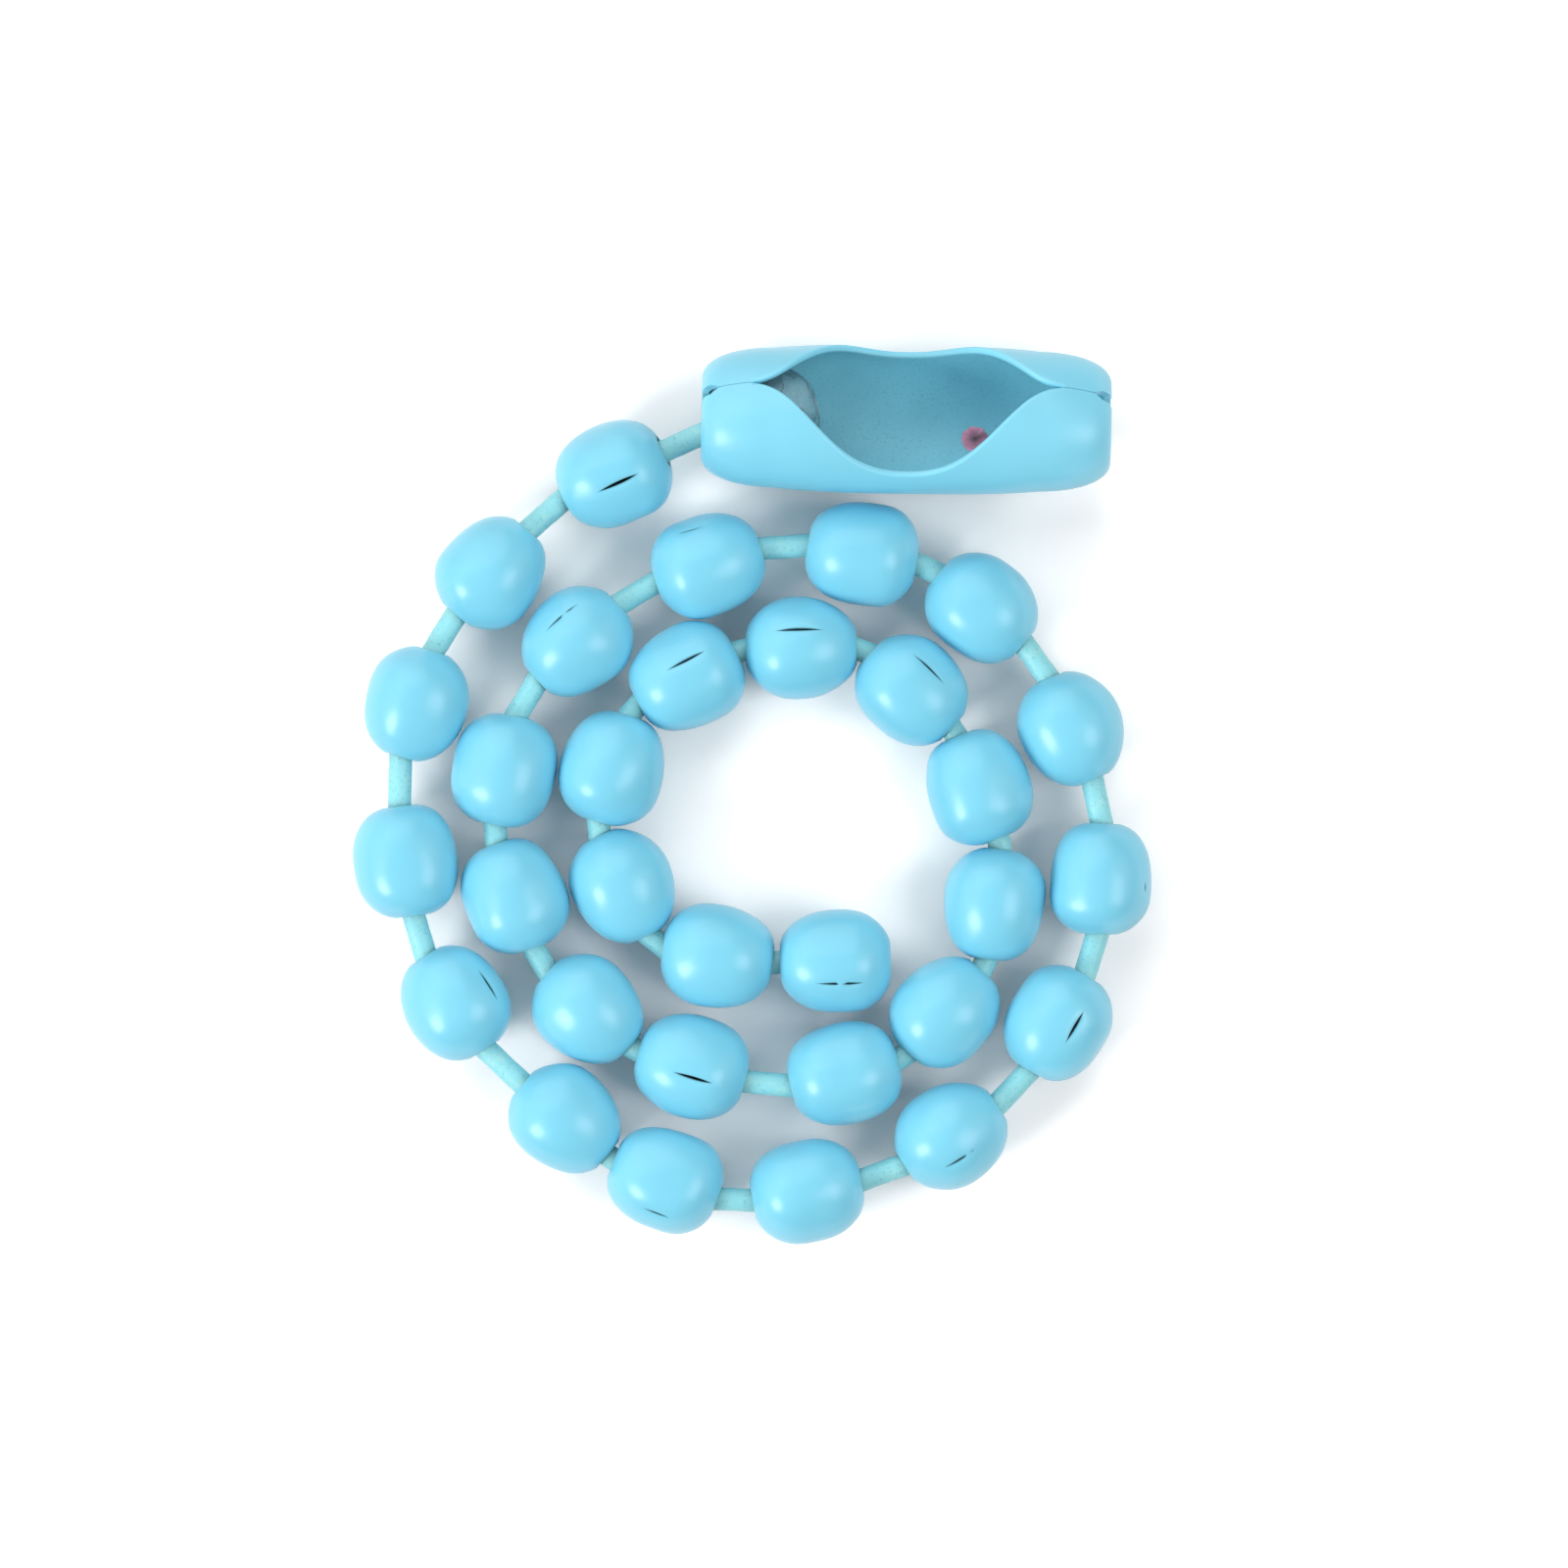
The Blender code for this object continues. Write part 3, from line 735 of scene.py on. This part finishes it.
def link_form(sizes, number):
    """A drawn wire with a domed head upset on each end, turned from one side of its section."""
    end, wire, head = sizes.shank / 2, sizes.wire / 2, sizes.head / 2
    upper = [(0, end + sizes.head_height)]
    for step in range(1, 7):
        angle = math.pi / 2 * step / 6
        upper.append((head * math.sin(angle), end + sizes.head_height * (0.4 + 0.6 * math.cos(angle))))
    upper += [(head * 0.94, end + sizes.head_height * 0.12), (wire + NECK_SWELL, end), (wire, end - NECK)]
    shank = [(wire, (end - NECK) * (1 - step / 7)) for step in range(1, 14)]
    lower = [(radius, -height) for radius, height in reversed(upper)]
    form = lathe(upper + shank + lower, 24)
    shift = Vector((number * 2.1, 0, number))
    for vert in form.verts:
        radial = Vector((vert.co.x, vert.co.y, 0))
        wave = noise.noise(vert.co / DRAWING_MARKS + shift, noise_basis="PERLIN_NEW")
        vert.co -= radial.normalized() * abs(wave) * MARK_DEPTH
    bmesh.ops.recalc_face_normals(form, faces=form.faces)
    return form


class CHAIN_OT_links(bpy.types.Operator):
    """Makes every wire link with its two heads"""

    bl_idname = "blind_chain.links"
    bl_label = "Make Links"

    def execute(self, context):
        sizes = context.scene.blind_links
        paint = wire_paint(context.scene.blind_colours)
        for number in range(BALLS - 1):
            node = link_node(number)
            form = link_form(sizes, number)
            form.transform(standing(*link_place(number, link_length(sizes))))
            hides = () if number in CARRIED_BY else (node,)
            add_piece(f"link_{number:02d}_wire", form, paint, BODY_OF[node], hides)
        return {"FINISHED"}


# Connector

STATIONS = 120
COLUMNS = 72
CROWN_POWER = 3
BEND_SHARE = 0.66  # Share of the stations that lies before the turned-in end
BEND_POWER = 0.9
MOUTH_FLATNESS = 2.3
MOUTH_TAPER = 2.5
NOTCH_START = 0.75 * MM  # How far from the end the notch begins, and over how much it opens
NOTCH_SLOPE = 0.35 * MM
LIP_START = 4.6 * MM  # How far from the middle the lips begin, and over how much they come in
LIP_SLOPE = 3.2 * MM
LIP_WIDTH = 1.6 * MM
RIM_ROUNDING = 0.1 * MM
RIM_ANGLE = 55 * DEG
MOUTH_RIM = 0.93  # Share of the mouth's length along which its rim is rounded
END_RIM = 0.05 * MM

# The pip's section from its middle outwards, as radius and height in mm, and where it stands
PIP_OUTLINE = (
    (0, 0.02), (0.1, 0.02), (0.17, 0.09), (0.24, 0.19), (0.33, 0.24),
    (0.42, 0.2), (0.5, 0.1), (0.55, -0.05), (0, -0.05),
)
PIP_PLACE = 2.95 * MM
PIP_TURN = 196 * DEG
TEAR = Vector((0.3, -0.16)) * MM
TEAR_RADIUS = 0.3 * MM
TEAR_DEPTH = 0.2 * MM
PIT_SHADE_RADIUS = 0.22 * MM
PIP_GRAIN = 0.2 * MM
PIP_ROUGHNESS = 0.05 * MM


def crown_radius(place, sizes):
    return sizes.diameter / 2 - sizes.crown * abs(place / (sizes.length / 2)) ** CROWN_POWER


def tube_point(share, sizes):
    """Place and radius on the tube's outer side, from its middle at 0 to an end hole at 1."""
    straight = sizes.length / 2 - sizes.taper
    if share <= BEND_SHARE:
        place = straight * share / BEND_SHARE
        return place, crown_radius(place, sizes)
    angle = math.pi / 2 * (share - BEND_SHARE) / (1 - BEND_SHARE)
    radius = crown_radius(straight, sizes) - sizes.rounding * (1 - math.cos(angle) ** BEND_POWER)
    return straight + sizes.taper * math.sin(angle), max(radius, sizes.end_hole)


def mouth_half_angle(place, radius, sizes):
    """Half of what the blank leaves open, from the wide mouth to the seam and the notch at its end."""
    share = min(1.0, abs(place) / (sizes.mouth_length / 2))
    mouth = sizes.mouth_angle / 2 * (1 - share**MOUTH_FLATNESS) ** MOUTH_TAPER
    seam = sizes.seam / 2 / radius
    past = clamp((abs(place) - sizes.length / 2 + NOTCH_START) / NOTCH_SLOPE)
    return max(mouth, seam + past * (sizes.notch - sizes.seam) / 2 / radius)


def connector_form(sizes):
    """The flat blank, rolled round X with its mouth towards +Z and given its thickness inwards."""
    form = bmesh.new()
    bmesh.ops.create_grid(form, x_segments=STATIONS, y_segments=COLUMNS, size=1)
    for vert in form.verts:
        share = vert.co.x
        place, radius = tube_point(abs(share), sizes)
        place = math.copysign(place, share)
        open_half = mouth_half_angle(place, radius, sizes)
        angle = math.pi + vert.co.y * (math.pi - open_half)
        from_edge = (1 - abs(vert.co.y)) * (math.pi - open_half) * radius
        closed = clamp((abs(place) - LIP_START) / LIP_SLOPE)
        radius -= sizes.lip * closed**2 * (3 - 2 * closed) * math.exp(-((from_edge / LIP_WIDTH) ** 2))
        vert.co = Vector((place, radius * math.sin(angle), radius * math.cos(angle)))
    bmesh.ops.recalc_face_normals(form, faces=form.faces)
    outward = sum(face.normal.dot(face.calc_center_median() * Vector((0, 1, 1))) for face in form.faces)
    if outward < 0:
        bmesh.ops.reverse_faces(form, faces=form.faces)
    bmesh.ops.solidify(form, geom=form.faces[:], thickness=sizes.sheet)
    return form


class CHAIN_OT_connector(bpy.types.Operator):
    """Makes the folded sheet connector with its mouth, seam, end notches and a pip whose hole is painted shade"""

    bl_idname = "blind_chain.connector"
    bl_label = "Make Connector"

    def execute(self, context):
        sizes, colours = context.scene.blind_connector, context.scene.blind_colours
        form = connector_form(sizes)
        rim_layer = form.verts.layers.float.new("rim")
        inside_layer = form.verts.layers.float.new("inside")
        rounded_rim = bmesh.ops.bevel(
            form, geom=rim_of(form, sizes), offset=RIM_ROUNDING, offset_type="OFFSET", segments=3,
            profile=0.5, affect="EDGES", material=-1, clamp_overlap=True,
        )
        # The rounded rim carries the painted highlight
        for vert in rounded_rim["verts"]:
            vert[rim_layer] = 1.0
        form.normal_update()
        for vert in form.verts:
            outwards = vert.normal.dot(Vector((0, vert.co.y, vert.co.z)).normalized())
            vert[inside_layer] = clamp(-1.4 * outwards - 0.1)
        joint = JOINTS["roll_connector"]
        heading = Vector(joint["axis"])
        stand = Matrix((heading, UP.cross(heading), UP)).transposed().to_4x4()
        place = Matrix.Translation(Vector(joint["pos_m"])) @ stand @ Matrix.Rotation(-sizes.roll, 4, "X")
        form.transform(place)
        paint = sheet_paint(colours)
        add_piece("connector_sheet", form, paint, "connector", hides=("connector",))
        pip = pip_form(sizes)
        pip.transform(place)
        add_piece("connector_pip", pip, pip_metal(colours), "connector")
        return {"FINISHED"}


def rim_of(form, sizes):
    """The sheet's square edges round the mouth and the end holes, but not along the closed seams."""
    mouth, end = sizes.mouth_length / 2 * MOUTH_RIM, sizes.length / 2 - END_RIM
    rim = []
    for edge in form.edges:
        place = abs(edge.verts[0].co.x + edge.verts[1].co.x) / 2
        between_faces = (place < mouth or place > end) and len(edge.link_faces) == 2
        if between_faces and edge.calc_face_angle() > RIM_ANGLE:
            rim.append(edge)
    return rim


def pip_form(sizes):
    """A small raised ring on the floor inside, torn at one side, round a flat middle; the middle and the torn side
    carry painted shade for a hole.
    """
    form = lathe([(radius * MM, height * MM) for radius, height in PIP_OUTLINE], 32)
    pit_shade_layer = form.verts.layers.float.new("pit_shade")
    for vert in form.verts:
        torn = max(0.0, 1 - (vert.co.xy - TEAR).length / TEAR_RADIUS)
        middle = max(0.0, 1 - vert.co.xy.length / PIT_SHADE_RADIUS)
        # Painted shade for the hole in the middle and the torn side
        vert[pit_shade_layer] = min(1.0, 2 * max(torn, middle))
        vert.co.z -= TEAR_DEPTH * torn
        grain = noise.noise(vert.co / PIP_GRAIN, noise_basis="PERLIN_NEW")
        vert.co += vert.co.normalized() * grain * PIP_ROUGHNESS
    bmesh.ops.recalc_face_normals(form, faces=form.faces)
    floor = crown_radius(PIP_PLACE, sizes) - sizes.sheet
    form.transform(Matrix.Rotation(PIP_TURN, 4, "X") @ Matrix.Translation((PIP_PLACE, 0, floor)))
    return form


# Studio


def floor_paint():
    """White paper that stays white to the camera and in reflections wherever no shadow falls."""
    finish = Finish(bpy.data.materials.new("white_paper"))
    to_camera = finish.node("LightPath", output="Is Camera Ray")
    in_reflections = finish.node("LightPath", output="Is Glossy Ray")
    colour = finish.mix((to_camera + in_reflections).clamped(), PAPER, PAPER_AS_SEEN)
    shader = finish.node("BsdfDiffuse", None, {"Color": colour})
    finish.node("OutputMaterial", None, {"Surface": shader})
    return finish.owner


def white_room(brightness):
    """A soft room that is pure white to the camera."""
    finish = Finish(bpy.data.worlds.new("white_room"))
    seen = finish.node("LightPath", output="Is Camera Ray")
    strength = seen * (1 - brightness) + brightness
    background = finish.node("Background", None, {"Color": (1, 1, 1, 1), "Strength": strength})
    finish.node("OutputWorld", None, {"Surface": background})
    return finish.owner


def add_soft_box(name, direction, distance, width, brightness):
    """A square lamp that faces the chain. Its power follows from how bright its face is."""
    lamp = bpy.data.lights.new(name, "AREA")
    lamp.size = width
    lamp.energy = math.pi * brightness * width**2
    holder = bpy.data.objects.new(name, lamp)
    towards = Vector(direction).normalized()
    holder.location = towards * distance
    holder.rotation_euler = towards.to_track_quat("Z", "Y").to_euler()
    bpy.context.scene.collection.objects.link(holder)


class CHAIN_OT_studio(bpy.types.Operator):
    """Sets up the white floor, the soft boxes and the camera that looks straight down"""

    bl_idname = "blind_chain.studio"
    bl_label = "Set Up Studio"

    def execute(self, context):
        scene, settings = context.scene, context.scene.blind_studio
        form = bmesh.new()
        bmesh.ops.create_grid(form, x_segments=1, y_segments=1, size=1.5)
        mesh = bpy.data.meshes.new("floor")
        form.to_mesh(mesh)
        form.free()
        mesh.materials.append(floor_paint())
        floor = bpy.data.objects.new("floor", mesh)
        scene.collection.objects.link(floor)

        scene.world = white_room(settings.room)
        for name, direction, distance, width, brightness in (
            ("back_box", (-0.3, 0.8, 0.6), 0.6, 0.75, settings.back),
            ("left_wall", (-1, 0.1, 0.6), 0.6, 0.5, settings.walls),
            ("right_wall", (1, 0.1, 0.6), 0.6, 0.5, settings.walls * 0.8),
            ("left_box", (-0.75, -0.48, 0.52), 0.36, 0.135, settings.left),
            ("right_box", (0.63, -0.18, 0.75), 0.36, 0.19, settings.right),
        ):
            add_soft_box(name, direction, distance, width, brightness)

        camera = bpy.data.cameras.new("camera")
        camera.lens = settings.lens
        camera.clip_start, camera.clip_end = 0.01, 10
        holder = bpy.data.objects.new("camera", camera)
        height = settings.picture * camera.lens / camera.sensor_width + scene.blind_balls.diameter / 2
        holder.location = (*settings.aim, height)
        scene.collection.objects.link(holder)
        scene.camera = holder
        scene.view_settings.view_transform = "Standard"
        return {"FINISHED"}


class CHAIN_PT_panel(bpy.types.Panel):
    """Lists the chain's pieces and their sizes"""

    bl_label = "Blind Chain"
    bl_idname = "CHAIN_PT_panel"
    bl_space_type = "VIEW_3D"
    bl_region_type = "UI"
    bl_category = "Blind Chain"

    def draw(self, context):
        scene, layout = context.scene, self.layout
        for operator, settings in (
            ("blind_chain.balls", scene.blind_balls),
            ("blind_chain.seated_ball", None),
            ("blind_chain.links", scene.blind_links),
            ("blind_chain.connector", scene.blind_connector),
            ("blind_chain.studio", scene.blind_studio),
        ):
            box = layout.box()
            box.operator(operator)
            if settings:
                for name in settings.bl_rna.properties.keys():
                    if name not in ("rna_type", "name"):
                        box.prop(settings, name)
        for name in ("ball", "wire", "connector", "inside", "steel", "pip"):
            layout.prop(scene.blind_colours, name)


CLASSES = (
    BallSizes,
    LinkSizes,
    ConnectorSizes,
    ChainColours,
    StudioSettings,
    CHAIN_OT_balls,
    CHAIN_OT_seated_ball,
    CHAIN_OT_links,
    CHAIN_OT_connector,
    CHAIN_OT_studio,
    CHAIN_PT_panel,
)


def register():
    for cls in CLASSES:
        bpy.utils.register_class(cls)
    scene = bpy.types.Scene
    scene.blind_balls = bpy.props.PointerProperty(type=BallSizes)
    scene.blind_links = bpy.props.PointerProperty(type=LinkSizes)
    scene.blind_connector = bpy.props.PointerProperty(type=ConnectorSizes)
    scene.blind_colours = bpy.props.PointerProperty(type=ChainColours)
    scene.blind_studio = bpy.props.PointerProperty(type=StudioSettings)


def unregister():
    for name in ("balls", "links", "connector", "colours", "studio"):
        delattr(bpy.types.Scene, "blind_" + name)
    for cls in reversed(CLASSES):
        bpy.utils.unregister_class(cls)


def main():
    register()
    bpy.ops.blind_chain.balls()
    bpy.ops.blind_chain.seated_ball()
    bpy.ops.blind_chain.links()
    bpy.ops.blind_chain.connector()
    bpy.ops.blind_chain.studio()


if __name__ == "__main__":
    main()
